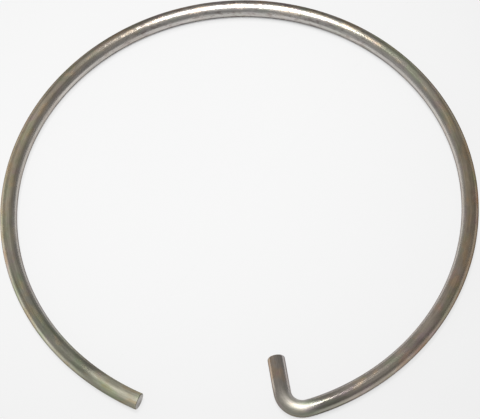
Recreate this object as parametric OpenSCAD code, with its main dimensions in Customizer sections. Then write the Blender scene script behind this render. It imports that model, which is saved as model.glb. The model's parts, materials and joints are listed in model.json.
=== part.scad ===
// Kick starter spring: one round wire coiled into an open ring, with a short leg bent inwards.
// The ring lies flat in the XY plane, centred on the origin, and the wire's mid-plane is z = 0.
// The leg points along +Y, on the -Y side of the ring. Angles run anticlockwise from +X.

/* [Wire] */
// Diameter of the spring wire
wire_d = 1.5; // [0.8:0.1:2.5]

/* [Ring] */
// Inside diameter of the ring, where it grips
ring_inner_d = 39; // [32:0.5:60]
// Angle from the ring's -Y side, towards -X, to the free end
mouth_angle = 33.5; // [20:0.5:90]
// Angle of the last stretch before the free end, which is coiled a little wider
open_end_angle = 20; // [5:1:40]
// Extra coil radius of that last stretch
open_end_gain = 1.5; // [0.2:0.1:6]

/* [Leg] */
// Angle from the ring's -Y side, towards +X, to where the ring runs into the bend
bend_place = 8.2; // [2:0.1:15]
// Inside radius of the bend between the ring and the leg
bend_inner_r = 1; // [0.5:0.1:1.8]
// Distance that the leg's tip stands in from the ring's inside
leg_reach = 4.6; // [4:0.1:12]
// Edge radius round the leg's tip
leg_tip_round = 0.2; // [0.05:0.05:0.35]

/* [Hidden] */
$fn = 96;

wire_r = wire_d / 2;

// The ring, to the middle of the wire
ring_r = ring_inner_d / 2 + wire_r;
ring_start = bend_place - 90;

// The bend touches the ring's circle from inside, and turns the wire to +Y
bend_r = bend_inner_r + wire_r;
bend_x = (ring_r - bend_r) * cos(ring_start);
bend_y = (ring_r - bend_r) * sin(ring_start);

// The leg runs from the bend to its tip
leg_x = bend_x - bend_r;
leg_length = leg_reach - ring_inner_d / 2 - bend_y;

// The last stretch keeps its length of wire and opens out on a wider circle
open_end_start = 270 - mouth_angle - open_end_angle;
open_end_r = ring_r + open_end_gain;
open_end_sweep = open_end_angle * ring_r / open_end_r;
open_end_x = -open_end_gain * cos(open_end_start);
open_end_y = -open_end_gain * sin(open_end_start);

// Moves its children in two steps, one to the nearest hundredth and one for the small
// remainder, so that the lengths of wire still meet face to face in an exported file
module place(x, y) {
    near_x = round(x * 100) / 100;
    near_y = round(y * 100) / 100;
    translate([near_x, near_y, 0])
        translate([x - near_x, y - near_y, 0])
            children();
}

// Round wire along an arc about the origin, between two angles
module wire_arc(coil_r, from, to) {
    rotate_extrude(angle = to - from, start = from)
        translate([coil_r, 0])
            circle(r = wire_r);
}

// The ring, from the bend round to the last stretch
module ring() {
    wire_arc(ring_r, ring_start, open_end_start);
}

// The last stretch, which ends in a square cut
module open_end() {
    place(open_end_x, open_end_y)
        wire_arc(open_end_r, open_end_start, open_end_start + open_end_sweep);
}

// The bend, from the leg's side round to the ring
module bend() {
    place(bend_x, bend_y)
        wire_arc(bend_r, -180, ring_start);
}

// The straight leg, with the edge of its tip rounded
module leg() {
    place(leg_x, bend_y)
        rotate([-90, 0, 0])
            rotate_extrude() {
                square([wire_r, leg_length - leg_tip_round]);
                square([wire_r - leg_tip_round, leg_length]);
                translate([wire_r - leg_tip_round, leg_length - leg_tip_round])
                    intersection() {
                        circle(r = leg_tip_round);
                        square(leg_tip_round);
                    }
            }
}

// The whole wire, one piece of drawn steel
module spring_wire() {
    color([0.43, 0.41, 0.38]) {
        ring();
        open_end();
        bend();
        leg();
    }
}

spring_wire();
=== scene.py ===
import json
import math

import bpy
from mathutils import Matrix, Vector, noise


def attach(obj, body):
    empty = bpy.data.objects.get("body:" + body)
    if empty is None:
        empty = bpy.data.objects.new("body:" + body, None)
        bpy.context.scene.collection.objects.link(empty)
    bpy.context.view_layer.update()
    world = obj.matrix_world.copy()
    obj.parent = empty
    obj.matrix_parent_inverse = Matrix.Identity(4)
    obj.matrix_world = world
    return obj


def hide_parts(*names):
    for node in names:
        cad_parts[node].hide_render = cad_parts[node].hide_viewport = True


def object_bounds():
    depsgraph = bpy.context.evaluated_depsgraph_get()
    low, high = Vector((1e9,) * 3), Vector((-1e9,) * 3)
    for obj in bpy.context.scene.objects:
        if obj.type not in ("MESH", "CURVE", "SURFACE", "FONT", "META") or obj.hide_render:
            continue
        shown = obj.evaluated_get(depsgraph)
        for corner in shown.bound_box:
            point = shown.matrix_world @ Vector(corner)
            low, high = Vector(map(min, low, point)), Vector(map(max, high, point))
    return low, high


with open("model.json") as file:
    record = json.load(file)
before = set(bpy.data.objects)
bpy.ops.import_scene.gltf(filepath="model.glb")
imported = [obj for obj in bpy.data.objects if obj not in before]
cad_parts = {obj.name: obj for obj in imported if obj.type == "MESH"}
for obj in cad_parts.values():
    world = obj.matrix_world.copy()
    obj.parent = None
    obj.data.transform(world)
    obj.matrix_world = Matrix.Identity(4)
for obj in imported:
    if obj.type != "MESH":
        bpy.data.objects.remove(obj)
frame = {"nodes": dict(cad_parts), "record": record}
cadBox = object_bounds()
scene = bpy.context.scene
mm = 0.001

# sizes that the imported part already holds
mounts = {mount["name"]: mount for mount in frame["record"]["mounts"]}
wireR = mounts["leg"]["dims"]["r_mm"] * mm
ringR = mounts["ring_grip"]["dims"]["r_mm"] * mm + wireR  # to the middle of the wire
legX = mounts["leg"]["pos_m"][0]
legTipY = max(v.co.y for v in frame["nodes"]["spring_wire"].data.vertices
              if abs(v.co.x - legX) < wireR and v.co.y < 0)
print("frame read: wire radius", round(wireR / mm, 3), "mm, ring to mid-wire", round(ringR / mm, 3), "mm")

spring = {
    # the bend, the ring and its last stretch, as the wire is coiled
    "bendPlace": 8.2,                 # degrees from the -Y side to where the ring runs into the bend
    "bendR": 1.75 * mm,               # to the middle of the wire
    "mouthAngle": 33.5,               # degrees from the -Y side to the free end
    "openEndAngle": 20.0,             # degrees of the last stretch, coiled a little wider
    "openEndGain": 1.5 * mm,
    "tipRound": 0.2 * mm,             # edge radius at the leg's tip
    "freeEndBreak": 0.05 * mm,        # edge radius at the free end
    "step": 0.105 * mm,               # from one section to the next
    "around": 80,                     # points round a section
    # what drawing, bending and handling left on it
    "waviness": 0.003 * mm,           # slow swell left by coiling
    "drawLines": 0.002 * mm,          # grooves along the wire, left by the drawing die
    "bendFlat": 0.030,                # share of the radius lost outside the bend
    "bendSwell": 0.020,               # and gained inside it
    "shearMarks": 0.006 * mm,         # roughness of the cut faces
    # mm along from the free end, degrees round from the outside, then mm long, wide and deep
    "dents": [
        (41.9, 97, 0.30, 0.12, 0.006), (43.7, 101, 0.24, 0.10, 0.006), (45.3, 96, 0.28, 0.10, 0.007),
        (47.2, 100, 0.22, 0.09, 0.006), (49.5, 92, 0.35, 0.08, 0.005), (53.2, 146, 0.16, 0.12, 0.018),
        (54.6, 140, 0.14, 0.10, 0.016), (57.9, 150, 0.20, 0.10, 0.012), (56.2, 128, 0.40, 0.07, 0.010),
        (50.8, 132, 0.50, 0.07, 0.010), (72.0, 70, 0.45, 0.10, 0.007), (84.3, 110, 0.35, 0.12, 0.007),
    ],
    # share of the way from the leg's tip to the free end, and the tint of the steel there
    # the darker stops at the bend and just before the free end also dim the lamp's highlight there: painted
    # shade over the steel's own tone
    "tints": [
        (0.000, (0.42, 0.37, 0.325)), (0.028, (0.42, 0.385, 0.34)), (0.045, (0.34, 0.33, 0.28)),
        (0.065, (0.33, 0.31, 0.27)), (0.085, (0.47, 0.42, 0.365)), (0.125, (0.48, 0.425, 0.36)),
        (0.170, (0.455, 0.385, 0.315)), (0.280, (0.435, 0.36, 0.26)), (0.360, (0.42, 0.385, 0.31)),
        (0.450, (0.43, 0.41, 0.355)), (0.550, (0.43, 0.40, 0.375)), (0.680, (0.475, 0.42, 0.34)),
        (0.760, (0.49, 0.42, 0.315)), (0.830, (0.46, 0.42, 0.33)), (0.890, (0.36, 0.35, 0.29)),
        (0.920, (0.375, 0.37, 0.295)), (0.957, (0.315, 0.31, 0.245)), (0.985, (0.375, 0.36, 0.285)),
    ],
    # the skin's patches: tint, size in mm, where the noise starts, and the levels that show
    "patches": [
        ((1.05, 0.93, 0.80), 0.9, (3, 1, 6), 0.48, 0.66),    # brown, and a little rougher
        ((0.88, 0.98, 0.88), 1.1, (9, 4, 2), 0.50, 0.68),    # green
        ((1.02, 0.94, 1.06), 0.8, (5, 8, 3), 0.52, 0.70),    # mauve
    ],
    "paleInside": (0.47, 0.455, 0.44),    # paler, more neutral steel low on the ring's inside, a painted reflection of the paper
    # painted light and shade in bands, lighter or duller: how much, then where each sets in or fades,
    # by share of the way and by mm outwards from the middle of the wire
    "paintedLightBands": [
        (-0.26, [(0.46, 0.35)], [(0.34, 0.60)]),                                # painted shade on the outside, next to the leg
        (0.34, [(0.30, 0.38), (0.92, 0.84)], [(-0.32, -0.12), (0.30, 0.08)]),   # painted sheen along the top of the wire
        (-0.42, [(0.38, 0.48), (0.74, 0.62)], [(-0.05, 0.18)]),                 # painted shade just outside of that
        (0.35, [(0.08, 0.14), (0.46, 0.26)], [(-0.44, -0.66)]),                 # painted reflection of the paper, low on the inside
        (0.50, [(0.72, 0.80), (0.98, 0.90)], [(0.44, 0.64)]),                   # painted reflection of the paper, low on the outside
        (0.50, [(0.035, 0.020)], [(0.44, 0.64)]),                               # painted reflection of the paper on one side of the leg
        (-0.30, [(0.945, 0.965)], [(0.20, -0.05)]),                             # painted shade on both sides of the sheen
        (-0.15, [(0.945, 0.965)], [(0.50, 0.62)]),                              # at the free end
    ],
    "rust": (0.34, 0.22, 0.13),
    "rustCover": 0.45,
    "grime": (0.60, 0.54, 0.52),      # small dark specks
    "grimeCover": (0.72, 0.20),       # on the middle of the ring, and elsewhere
    "ringMiddle": 0.53,               # share of the way to the middle of the ring
    "roughness": 0.25,                # the ring, where it is smooth
    "patchRoughness": (-0.02, 0.05),  # clear of the brown patches, and in them
    "bendRoughness": 0.42,
    "heldRoughness": 0.18,            # both sides of the bend, where the bending tool held it
    "freeEndRoughness": 0.55,
    "drawnSheen": 0.85,               # the sheen spreads round the wire, across its draw lines
    "edgeTint": (0.14, 0.11, 0.12),   # a dull skin shines little at the edge of sight
    "grooves": 0.0015 * mm,           # depth of the draw lines, rubbed down in the middle of the ring
    "endGrooves": 0.003 * mm,         # and as drawn, towards both ends
    # the cut faces at both ends
    "cutLight": (0.34, 0.32, 0.30),
    "cutDark": (0.22, 0.205, 0.18),
    "cutRoughness": (0.28, 0.50),
    "cutMarks": 0.006 * mm,           # depth of their fine marks
    "cutMarkStrength": 0.6,
}


def turn(place, heading, length, curve):
    # one step along an arc, where curve is 1 / radius and a left turn is positive
    if curve == 0:
        return place + Vector((math.cos(heading), math.sin(heading))) * length, heading
    newHeading = heading + length * curve
    move = Vector((math.sin(newHeading) - math.sin(heading), math.cos(heading) - math.cos(newHeading)))
    return place + move / curve, newHeading


def stretchesOfWire():
    # length and curve of the leg, the bend, the ring and the last stretch
    bendY = -(ringR - spring["bendR"]) * math.cos(math.radians(spring["bendPlace"]))
    ringAngle = 360 - spring["mouthAngle"] - spring["openEndAngle"] - spring["bendPlace"]
    return [
        (legTipY - bendY, 0),
        (spring["bendR"] * math.radians(90 + spring["bendPlace"]), 1 / spring["bendR"]),
        (ringR * math.radians(ringAngle), 1 / ringR),
        (ringR * math.radians(spring["openEndAngle"]), 1 / (ringR + spring["openEndGain"])),
    ]


def makeRoute():
    # distance, place and heading of each section, from the leg's tip round to the free end
    stretches = stretchesOfWire()
    total = sum(length for length, curve in stretches)
    edges = [spring["tipRound"] * (1 - math.cos(math.radians(11.25 * k))) for k in range(1, 8)]
    edges += [total - spring["freeEndBreak"] * (1 - math.cos(math.radians(11.25 * k))) for k in range(1, 8)]
    route, start = [], 0.0
    place, heading = Vector((legX, legTipY)), -math.pi / 2
    for length, curve in stretches:
        count = math.ceil(length / spring["step"])
        stops = [length * i / count for i in range(count + 1)]
        stops += [edge - start for edge in edges if 0 < edge - start < length]
        for stop in sorted(stops):
            if not route or start + stop - route[-1][0] > 0.0005 * mm:
                route.append((start + stop, *turn(place, heading, stop, curve)))
        place, heading = turn(place, heading, length, curve)
        start += length
    return route


def sectionR(distance, total):
    # the section shrinks over the rounded edges of both ends
    for depth, edge in ((distance, spring["tipRound"]), (total - distance, spring["freeEndBreak"])):
        if depth < edge:
            return wireR - edge + math.sqrt(max(0.0, edge ** 2 - (edge - depth) ** 2))
    return wireR


def bendShare(distance):
    # 1 through the bend, falling to 0 a wire's radius past its ends
    leg, bend = stretchesOfWire()[:2]
    past = abs(distance - leg[0] - bend[0] / 2) - bend[0] / 2 + wireR
    return 1 - min(1.0, max(0.0, past / (2 * wireR))) ** 2


def relief(angle, distance, total):
    # how far the surface stands above or below the plain round wire
    across, up, along = math.cos(angle), math.sin(angle), distance / mm
    height = spring["waviness"] * noise.noise(Vector((across * 0.9, up * 0.9, along * 0.45)))
    height += spring["drawLines"] * noise.noise(Vector((across * 5.5, up * 5.5, along * 0.05 + 40)))
    bend = bendShare(distance)
    height -= bend * spring["bendFlat"] * wireR * max(0.0, across) ** 2
    height += bend * spring["bendSwell"] * wireR * max(0.0, -across) ** 2
    for fromEnd, degrees, long, wide, deep in spring["dents"]:
        aside = ((total - distance) / mm - fromEnd) / long
        if abs(aside) < 2:
            askew = math.remainder(angle - math.radians(degrees), math.tau) * wireR / mm / wide
            height -= deep * mm * math.exp(-2 * (aside ** 2 + askew ** 2))
    return height


def unroll(mesh, straight, total):
    # lays the surface out in five strips side by side, u round the wire and v along it
    long, width = total / 5, math.tau * wireR / mm
    side = long + 2.0
    layout = mesh.uv_layers.new(name="OFBake")
    spots = []
    for polygon in mesh.polygons:
        corners = [straight[v] for v in polygon.vertices]
        middle = sum(corner.z for corner in corners) / len(corners)
        if polygon.material_index == 1:
            left = 0.8 if middle < total / 2 else 2.6
            spots += [((left + corner.x) / side, 1 + (corner.y - 0.85) / side) for corner in corners]
            continue
        strip = min(4, int(middle / long))
        turns = [math.atan2(corner.y, corner.x) / math.tau % 1 for corner in corners]
        for corner, part in zip(corners, turns):
            part += 1 if max(turns) - part > 0.5 else 0
            u = 0.1 + strip * (width + 0.1) + part * width
            spots.append((u / side, (0.1 + corner.z - strip * long) / side))
    layout.uv.foreach_set("vector", [value for spot in spots for value in spot])


def makeWire():
    route = makeRoute()
    total = route[-1][0]
    around = spring["around"]
    points, straight, faces = [], [], []
    for distance, place, heading in route:
        outward = Vector((math.sin(heading), -math.cos(heading), 0))
        radius = sectionR(distance, total)
        for j in range(around):
            angle = math.tau * j / around
            r = radius + relief(angle, distance, total)
            x, z = r * math.cos(angle), r * math.sin(angle)
            points.append(Vector((place.x, place.y, z)) + outward * x)
            straight.append(Vector((x, z, distance)) / mm)
    for i in range(len(route) - 1):
        for j in range(around):
            a, b = i * around + j, i * around + (j + 1) % around
            faces.append((a, a + around, b + around, b))
    sideFaces = len(faces)

    # each cut face is closed by shrinking rings round a middle point
    for first, sign in ((0, -1), ((len(route) - 1) * around, 1)):
        distance, place, heading = route[0 if sign < 0 else -1]
        ahead = Vector((math.cos(heading), math.sin(heading), 0)) * sign
        centre = Vector((place.x, place.y, 0))
        rim = [points[first + j] - centre for j in range(around)]
        last = list(range(first, first + around))
        for share in (0.93, 0.82, 0.68, 0.52, 0.35, 0.18):
            ring = []
            for j in range(around):
                spot = centre + rim[j] * share
                grain = noise.noise(spot / mm * 3.1)
                grain += 0.6 * noise.noise(Vector((share, spot.z / mm * 9, 7.3)))
                points.append(spot + ahead * (spring["shearMarks"] * grain * (1 - share ** 6)))
                flat = straight[first + j] * share
                straight.append(Vector((flat.x, flat.y, distance / mm)))
                ring.append(len(points) - 1)
            for j in range(around):
                k = (j + 1) % around
                quad = (last[j], ring[j], ring[k], last[k])
                faces.append(quad if sign > 0 else quad[::-1])
            last = ring
        points.append(centre)
        straight.append(Vector((0, 0, distance / mm)))
        for j in range(around):
            tri = (last[j], len(points) - 1, last[(j + 1) % around])
            faces.append(tri if sign > 0 else tri[::-1])

    mesh = bpy.data.meshes.new("springWire")
    mesh.from_pydata(points, [], faces)
    mesh.polygons.foreach_set("use_smooth", [True] * len(faces))
    mesh.polygons.foreach_set("material_index", [int(i >= sideFaces) for i in range(len(faces))])
    # the place each point would have if the wire were straightened, in mm, for the materials
    spread = mesh.attributes.new("wirePlace", "FLOAT_VECTOR", "POINT")
    spread.data.foreach_set("vector", [value for spot in straight for value in spot])
    unroll(mesh, straight, total / mm)
    wire = bpy.data.objects.new("springWire", mesh)
    scene.collection.objects.link(wire)
    print("wire made:", len(route), "sections,", len(faces), "faces,", round(total / mm, 2), "mm long")
    return wire, total


def newMaterial(name):
    material = bpy.data.materials.new(name)
    material.use_nodes = True
    return material, material.node_tree, material.node_tree.nodes["Principled BSDF"]


def setOrLink(tree, socket, value):
    if isinstance(value, bpy.types.NodeSocket):
        tree.links.new(value, socket)
    elif isinstance(value, tuple) and len(value) == 3 and socket.type == "RGBA":
        socket.default_value = (*value, 1)
    else:
        socket.default_value = value


def addNode(tree, kind, settings=None, inputs=None):
    node = tree.nodes.new(kind)
    for name, value in (settings or {}).items():
        setattr(node, name, value)
    for name, value in (inputs or {}).items():
        setOrLink(tree, node.inputs[name], value)
    return node


def stretched(tree, vector, scale, offset=(0, 0, 0)):
    # the straightened place, scaled across the wire (x, y) and along it (z)
    return addNode(tree, "ShaderNodeMapping", None,
                   {"Vector": vector, "Location": offset, "Scale": scale}).outputs["Vector"]


def noiseOf(tree, vector, scale, detail=3.0, rough=0.55):
    return addNode(tree, "ShaderNodeTexNoise", None,
                   {"Vector": vector, "Scale": scale, "Detail": detail, "Roughness": rough}).outputs["Fac"]


def ranged(tree, value, low, high, outLow=0.0, outHigh=1.0, kind="SMOOTHSTEP"):
    node = addNode(tree, "ShaderNodeMapRange", {"interpolation_type": kind},
                   {"Value": value, "From Min": low, "From Max": high, "To Min": outLow, "To Max": outHigh})
    return node.outputs["Result"]


def mixed(tree, share, first, second, blend="MIX"):
    node = addNode(tree, "ShaderNodeMix", {"data_type": "RGBA", "blend_type": blend})
    for index, value in ((0, share), (6, first), (7, second)):
        setOrLink(tree, node.inputs[index], value)
    return node.outputs[2]


def maths(tree, operation, first, second=0.0, clamp=False):
    node = addNode(tree, "ShaderNodeMath", {"operation": operation, "use_clamp": clamp})
    setOrLink(tree, node.inputs[0], first)
    setOrLink(tree, node.inputs[1], second)
    return node.outputs[0]


def patchesOf(tree, place, size, offset, low, high):
    # blotches about this many mm across, longer along the wire
    return ranged(tree, noiseOf(tree, stretched(tree, place, (1, 1, 0.45), offset), 1 / size), low, high)


def makeDrawnSteel(total):
    material, tree, shader = newMaterial("drawnSpringSteel")
    place = addNode(tree, "ShaderNodeAttribute", {"attribute_name": "wirePlace"}).outputs["Vector"]
    parts = addNode(tree, "ShaderNodeSeparateXYZ", None, {"Vector": place}).outputs
    across, along = parts["X"], parts["Z"]
    share = maths(tree, "DIVIDE", along, total / mm)

    ramp = addNode(tree, "ShaderNodeValToRGB", None, {"Fac": share})
    stops = ramp.color_ramp.elements
    for between in spring["tints"][1:-1]:
        stops.new(between[0])
    for stop, (at, tint) in zip(stops, spring["tints"]):
        stop.position, stop.color = at, (*tint, 1)
    colour = ramp.outputs["Color"]

    patches = []
    for tint, size, offset, low, high in spring["patches"]:
        patches.append(patchesOf(tree, place, size, offset, low, high))
        colour = mixed(tree, patches[-1], colour, mixed(tree, 1.0, colour, tint, "MULTIPLY"))
    shades = noiseOf(tree, stretched(tree, place, (1, 1, 0.3), (2, 7, 5)), 1.6, 4.0, 0.6)
    colour = mixed(tree, 1.0, colour, ranged(tree, shades, 0.3, 0.7, 0.86, 1.12, "LINEAR"), "MULTIPLY")
    lines = noiseOf(tree, stretched(tree, place, (1, 1, 0.025)), 9.0, 4.0, 0.6)
    streaks = ranged(tree, lines, 0.32, 0.68, 0.80, 1.14, "LINEAR")
    colour = mixed(tree, 1.0, colour, streaks, "MULTIPLY")
    rust = patchesOf(tree, place, 0.55, (1, 6, 9), 0.70, 0.78)
    colour = mixed(tree, maths(tree, "MULTIPLY", rust, spring["rustCover"]), colour, spring["rust"])

    # painted reflection of the paper: the ring's inside turns paler and more neutral, less so near the free
    # end
    paleInsideFade = ranged(tree, share, 0.90, 0.95, 0.75, 0.1)
    inside = maths(tree, "MULTIPLY", ranged(tree, across, -0.20, -0.62), paleInsideFade)
    colour = mixed(tree, inside, colour, mixed(tree, 1.0, spring["paleInside"], streaks, "MULTIPLY"))

    # painted light and shade: the bands above, multiplied into the steel's colour
    shade = 1.0
    for amount, shareEdges, acrossEdges in spring["paintedLightBands"]:
        band = amount
        for value, edges in ((share, shareEdges), (across, acrossEdges)):
            for low, high in edges:
                band = maths(tree, "MULTIPLY", ranged(tree, value, low, high), band)
        shade = maths(tree, "ADD", shade, band)
    colour = mixed(tree, 1.0, colour, shade, "MULTIPLY")

    fromMiddle = maths(tree, "ABSOLUTE", maths(tree, "SUBTRACT", share, spring["ringMiddle"]))
    grime = patchesOf(tree, place, 0.26, (4, 2, 8), 0.50, 0.66)
    grime = maths(tree, "MULTIPLY", grime, ranged(tree, fromMiddle, 0.06, 0.14, *spring["grimeCover"]))
    colour = mixed(tree, grime, colour, mixed(tree, 1.0, colour, spring["grime"], "MULTIPLY"))
    tree.links.new(colour, shader.inputs["Base Color"])

    # smooth along the ring, rougher through the bend and at the free end (mm along the wire)
    shader.inputs["Metallic"].default_value = 1.0
    clear, covered = (spring["roughness"] + change for change in spring["patchRoughness"])
    rough = ranged(tree, patches[0], 0, 1, clear, covered, "LINEAR")
    held = ranged(tree, along, 14.5, 8, 0, spring["heldRoughness"] - spring["roughness"])
    atBend = maths(tree, "MULTIPLY", ranged(tree, along, 2.6, 4.4), ranged(tree, along, 7.8, 5.8))
    atBend = maths(tree, "MULTIPLY", atBend, spring["bendRoughness"] - spring["heldRoughness"])
    toFreeEnd = ranged(tree, along, total / mm - 6, total / mm - 3, 0,
                       spring["freeEndRoughness"] - spring["roughness"])
    for change in (held, atBend, toFreeEnd):
        rough = maths(tree, "ADD", rough, change)
    tree.links.new(rough, shader.inputs["Roughness"])
    shader.inputs["Anisotropic"].default_value = spring["drawnSheen"]
    shader.inputs["Specular Tint"].default_value = (*spring["edgeTint"], 1)
    tangent = addNode(tree, "ShaderNodeTangent", {"direction_type": "UV_MAP", "uv_map": "OFBake"})
    tree.links.new(tangent.outputs["Tangent"], shader.inputs["Tangent"])

    depth = ranged(tree, fromMiddle, 0.28, 0.42, spring["grooves"], spring["endGrooves"])
    bump = addNode(tree, "ShaderNodeBump", None,
                   {"Height": maths(tree, "MULTIPLY", lines, depth), "Strength": 1.0, "Distance": 1.0})
    tree.links.new(bump.outputs["Normal"], shader.inputs["Normal"])
    return material


def makeCutSteel():
    material, tree, shader = newMaterial("cutSteel")
    place = addNode(tree, "ShaderNodeAttribute", {"attribute_name": "wirePlace"}).outputs["Vector"]
    marks = noiseOf(tree, stretched(tree, place, (1.2, 7, 1)), 2.4, 4.0, 0.6)
    pits = noiseOf(tree, place, 7.0, 3.0, 0.6)
    colour = mixed(tree, ranged(tree, marks, 0.35, 0.65), spring["cutLight"], spring["cutDark"])
    tree.links.new(colour, shader.inputs["Base Color"])
    shader.inputs["Metallic"].default_value = 1.0
    tree.links.new(ranged(tree, pits, 0.3, 0.7, *spring["cutRoughness"]), shader.inputs["Roughness"])
    bump = addNode(tree, "ShaderNodeBump", None, {"Height": marks, "Strength": spring["cutMarkStrength"],
                                                  "Distance": spring["cutMarks"]})
    tree.links.new(bump.outputs["Normal"], shader.inputs["Normal"])
    return material


wire, wireLength = makeWire()
wire.data.materials.append(makeDrawnSteel(wireLength))
wire.data.materials.append(makeCutSteel())
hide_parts("spring_wire")
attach(wire, "root")
print("materials set")

studio = {
    "paper": (0.89, 0.89, 0.89),
    "paperGlow": 0.85,            # share of its brightness that the paper keeps in open shadow
    "paperBright": 0.94,          # painted pool of light: the paper's glow where it is brightest, and further off
    "paperDim": 0.83,
    "paperInMetal": 1.30,         # how much brighter it looks in the metal
    "brightMiddle": (-0.3, 0.5),  # where it is brightest, in ring radii
    "brightReach": (0.4, 2.6),    # how far that goes, and where it has faded, in ring radii
    "gapReach": 1.5 * mm,         # how near the wire the paper darkens
    "gapSeen": (0.20, 0.42),      # open share of the sky where the gap is dark, and where it is clear
    "gapInMetal": (0.36, 0.76),   # the same in the metal
    "gapLevel": 0.05,
    "floorSize": 3.0,             # metres
    "surround": 0.37,             # level of the even light all round
    "surroundLean": 0.21,         # how much brighter it is from the left, and dimmer from the right
    "lampLevel": 0.66,            # what the lamp adds on the floor
    "lampSpread": 16.5,           # degrees across, as the spring sees it
    "lampLean": (-0.044, 0.108),  # how far the lamp leans from straight overhead, along X and Y
}


def makeFloor():
    half = studio["floorSize"] / 2
    low = cadBox[0].z
    mesh = bpy.data.meshes.new("paperFloor")
    corners = [(-half, -half, low), (half, -half, low), (half, half, low), (-half, half, low)]
    mesh.from_pydata(corners, [], [(0, 1, 2, 3)])
    floor = bpy.data.objects.new("paperFloor", mesh)
    scene.collection.objects.link(floor)
    material, tree, shader = newMaterial("whitePaper")
    shader.inputs["Base Color"].default_value = (*studio["paper"], 1)
    shader.inputs["Roughness"].default_value = 0.9
    shader.inputs["Specular IOR Level"].default_value = 0.0

    # the paper glows with a painted pool of light and looks bright right up to the narrow gap under the
    # wire, where a painted shadow darkens it; the metal sees that shadow wider
    place = addNode(tree, "ShaderNodeTexCoord").outputs["Object"]
    middle = (*(part * ringR for part in studio["brightMiddle"]), 0)
    offset = addNode(tree, "ShaderNodeVectorMath", {"operation": "SUBTRACT"}, {0: place, 1: middle})
    away = addNode(tree, "ShaderNodeVectorMath", {"operation": "LENGTH"}, {0: offset.outputs[0]})
    near, far = (part * ringR for part in studio["brightReach"])
    bright = ranged(tree, away.outputs["Value"], near, far, studio["paperBright"], studio["paperDim"])
    gap = addNode(tree, "ShaderNodeAmbientOcclusion", {"samples": 16},
                  {"Distance": studio["gapReach"]}).outputs["AO"]
    ray = addNode(tree, "ShaderNodeLightPath").outputs
    (metalDark, metalClear), (seenDark, seenClear) = studio["gapInMetal"], studio["gapSeen"]
    dark = ranged(tree, ray["Is Camera Ray"], 0, 1, metalDark, seenDark, "LINEAR")
    clear = ranged(tree, ray["Is Camera Ray"], 0, 1, metalClear, seenClear, "LINEAR")
    level = ranged(tree, ray["Is Camera Ray"], 0, 1, studio["paperInMetal"], 1.0, "LINEAR")
    strength = maths(tree, "MULTIPLY", bright, ranged(tree, gap, dark, clear, studio["gapLevel"], level))
    glow = addNode(tree, "ShaderNodeEmission", None, {"Strength": strength})
    seen = maths(tree, "ADD", ray["Is Camera Ray"], ray["Is Glossy Ray"], True)
    seen = maths(tree, "ADD", seen, ray["Is Transmission Ray"], True)
    blend = addNode(tree, "ShaderNodeMixShader", None,
                    {0: maths(tree, "MULTIPLY", seen, studio["paperGlow"]), 1: shader.outputs["BSDF"],
                     2: glow.outputs["Emission"]})
    tree.links.new(blend.outputs["Shader"], tree.nodes["Material Output"].inputs["Surface"])
    mesh.materials.append(material)


def makeLight():
    world = bpy.data.worlds.new("surround")
    scene.world = world
    world.use_nodes = True
    tree = world.node_tree
    toward = addNode(tree, "ShaderNodeTexCoord").outputs["Generated"]
    sideways = addNode(tree, "ShaderNodeSeparateXYZ", None, {"Vector": toward}).outputs["X"]
    left = studio["surround"] * (1 + studio["surroundLean"])
    right = studio["surround"] * (1 - studio["surroundLean"])
    level = ranged(tree, sideways, -0.6, 0.6, left, right)
    tree.links.new(level, tree.nodes["Background"].inputs["Strength"])
    tree.nodes["Background"].inputs["Color"].default_value = (1, 1, 1, 1)
    lamp = bpy.data.lights.new("overheadLamp", "SUN")
    lamp.energy = studio["lampLevel"] * math.pi
    lamp.angle = math.radians(studio["lampSpread"])
    holder = bpy.data.objects.new("overheadLamp", lamp)
    holder.rotation_euler = Vector((*studio["lampLean"], 1)).to_track_quat("Z", "Y").to_euler()
    scene.collection.objects.link(holder)


view = {
    "from": -94.1,        # degrees round from +X to where the camera stands
    "height": 62.49,      # degrees up
    "roll": -5.36,
    "distance": 14.0,     # ring radii
    "aim": (0.07 * mm, -0.26 * mm, 0.0),
    "lens": 242.4,        # mm, on a sensor 36 mm wide
}


def makeCamera():
    camera = bpy.data.cameras.new("camera")
    camera.sensor_fit = "HORIZONTAL"
    camera.sensor_width = 36
    camera.lens = view["lens"]
    camera.clip_start = 0.001
    camera.clip_end = 20
    holder = bpy.data.objects.new("camera", camera)
    scene.collection.objects.link(holder)
    around, up = math.radians(view["from"]), math.radians(view["height"])
    stand = Vector((math.cos(around) * math.cos(up), math.sin(around) * math.cos(up), math.sin(up)))
    stand *= view["distance"] * ringR
    look = (Vector(view["aim"]) - stand).to_track_quat("-Z", "Y").to_matrix()
    look = look @ Matrix.Rotation(math.radians(view["roll"]), 3, "Z")
    holder.matrix_world = Matrix.Translation(stand) @ look.to_4x4()
    scene.camera = holder


makeFloor()
makeLight()
makeCamera()
scene.view_settings.view_transform = "Standard"
print("floor, light and camera set")
